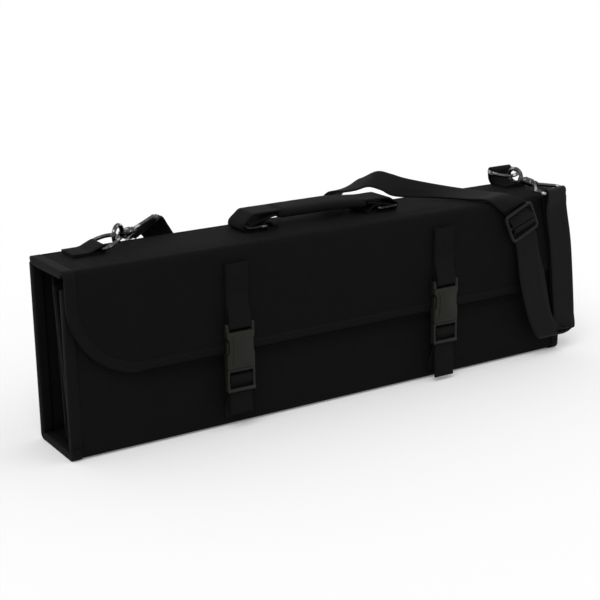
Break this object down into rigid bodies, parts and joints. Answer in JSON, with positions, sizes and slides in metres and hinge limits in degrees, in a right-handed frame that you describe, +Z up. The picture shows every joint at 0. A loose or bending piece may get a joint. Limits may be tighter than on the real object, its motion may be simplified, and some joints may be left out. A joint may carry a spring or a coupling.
{
  "type": "knife carrying case",
  "caption": "Fabric-covered stiffened carrying case for knives, with a hinged lid and front flap, strap buckles, a carry handle, and a shoulder strap on swivel snap hooks.",
  "frame": {"origin": "middle of the bottom fold's outer face, on the surface that the case stands on", "axes": "+X along the case's length, from its left end to its right end seen from the front; +Z up from the face it stands on; the flap and buckles face -Y"},
  "size_m": [0.4885, 0.1027, 0.1744],
  "materials": {
    "cover": "woven nylon, matt",
    "lining": "smooth nylon lining",
    "pocket": "woven nylon",
    "grip": "padded nylon",
    "tape": "grosgrain tape",
    "webbing": "nylon webbing",
    "strap": "nylon webbing, slightly shiny",
    "board": "stiff sheet",
    "buckle": "moulded acetal",
    "slide": "moulded acetal",
    "metal": "nickel plated"
  },
  "bodies": {
    "case": {"bottom_spine": "cover", "bottom_board": "board", "back_panel": "cover", "back_board": "board", "front_panel": "cover", "front_board": "board", "back_binding": "tape", "front_binding": "tape", "knife_leaf": "lining", "leaf_binding": "tape", "leaf_pocket": "pocket", "leaf_elastic": "webbing", "divider": "lining", "back_pocket": "pocket", "back_elastic": "webbing", "lower_strap_left": "webbing", "lower_strap_right": "webbing", "strap_back": "strap"},
    "lid": {"top_spine": "cover", "top_board": "board", "lid_fold": "cover", "handle_chapes": "webbing", "handle_loops": "metal", "handle_webbing": "webbing", "chape_left": "webbing", "chape_right": "webbing", "strap_top": "strap"},
    "flap": {"flap_fold": "cover", "flap": "cover", "flap_board": "board", "flap_binding": "tape", "upper_strap_left": "webbing", "upper_strap_right": "webbing", "socket_left": "buckle", "socket_right": "buckle", "strap_loop": "strap", "strap_return": "strap"},
    "handle": {"handle_grip": "grip"},
    "slide": {"slider": "slide"},
    "plug_left": {"plug_left": "buckle", "plug_arms_left": "buckle"},
    "plug_right": {"plug_right": "buckle", "plug_arms_right": "buckle"},
    "ring_left": {"d_ring_left": "metal"},
    "ring_right": {"d_ring_right": "metal"},
    "hook_left": {"hook_jaw_left": "metal", "gate_pin_left": "metal"},
    "hook_right": {"hook_jaw_right": "metal", "gate_pin_right": "metal"},
    "gate_left": {"hook_gate_left": "metal"},
    "gate_right": {"hook_gate_right": "metal"},
    "eye_left": {"hook_eye_left": "metal", "strap_end_left": "strap"},
    "eye_right": {"hook_eye_right": "metal"}
  },
  "joints": [
    {"name": "lid_hinge", "type": "hinge", "parent": "case", "child": "lid", "pos_m": [0, 0.0312, 0.142], "axis": [-1, 0, 0], "range_deg": [0, 80], "deforming": ["lid_fold", "strap_back", "strap_top"]},
    {"name": "flap_hinge", "type": "hinge", "parent": "lid", "child": "flap", "pos_m": [0, -0.0352, 0.1415], "axis": [-1, 0, 0], "range_deg": [0, 100], "deforming": ["flap_fold", "strap_loop", "strap_return"]},
    {"name": "handle_tilt", "type": "hinge", "parent": "lid", "child": "handle", "pos_m": [0, 0.006, 0.151], "axis": [1, 0, 0], "range_deg": [-15, 15], "stiffness_Nm_per_rad": 0.05, "deforming": ["handle_webbing"]},
    {"name": "plug_release_left", "type": "slide", "parent": "case", "child": "plug_left", "axis": [0, 0, -1], "range_m": [0, 0.029], "deforming": ["plug_arms_left", "lower_strap_left"]},
    {"name": "plug_release_right", "type": "slide", "parent": "case", "child": "plug_right", "axis": [0, 0, -1], "range_m": [0, 0.029], "deforming": ["plug_arms_right", "lower_strap_right"]},
    {"name": "slide_adjust", "type": "slide", "parent": "flap", "child": "slide", "axis": [0.342, 0, -0.9397], "range_m": [-0.004, 0.012]},
    {"name": "ring_lift_left", "type": "hinge", "parent": "lid", "child": "ring_left", "pos_m": [-0.192, 0.012, 0.15055], "axis": [0, -1, 0], "range_deg": [0, 35]},
    {"name": "hook_lift_left", "type": "hinge", "parent": "ring_left", "child": "hook_left", "pos_m": [-0.17544, 0.012, 0.1562], "axis": [0.6222, -0.7828, 0], "range_deg": [0, 15]},
    {"name": "gate_left", "type": "hinge", "parent": "hook_left", "child": "gate_left", "pos_m": [-0.16798, 0.01793, 0.15313], "axis": [-0.6222, 0.7828, 0], "range_deg": [0, 9], "stiffness_Nm_per_rad": 0.01, "springref_deg": -17.19},
    {"name": "swivel_left", "type": "hinge", "parent": "hook_left", "child": "eye_left", "pos_m": [-0.17372, 0.01336, 0.1564], "axis": [0.7796, 0.6197, -0.09], "range_deg": [-10, 30]},
    {"name": "ring_lift_right", "type": "hinge", "parent": "lid", "child": "ring_right", "pos_m": [0.212, 0.025, 0.16], "axis": [-1, 0, 0], "range_deg": [0, 30]},
    {"name": "hook_lift_right", "type": "hinge", "parent": "ring_right", "child": "hook_right", "pos_m": [0.212, 0.00773, 0.1572], "axis": [-0.9881, -0.1537, 0], "range_deg": [0, 12]},
    {"name": "gate_right", "type": "hinge", "parent": "hook_right", "child": "gate_right", "pos_m": [0.21356, -0.00228, 0.15313], "axis": [0.9881, 0.1537, 0], "range_deg": [0, 12], "stiffness_Nm_per_rad": 0.01, "springref_deg": -17.19},
    {"name": "swivel_right", "type": "hinge", "parent": "hook_right", "child": "eye_right", "pos_m": [0.21246, 0.00479, 0.15678], "axis": [0.1522, -0.9782, -0.1413], "range_deg": [-4, 4]}
  ]
}
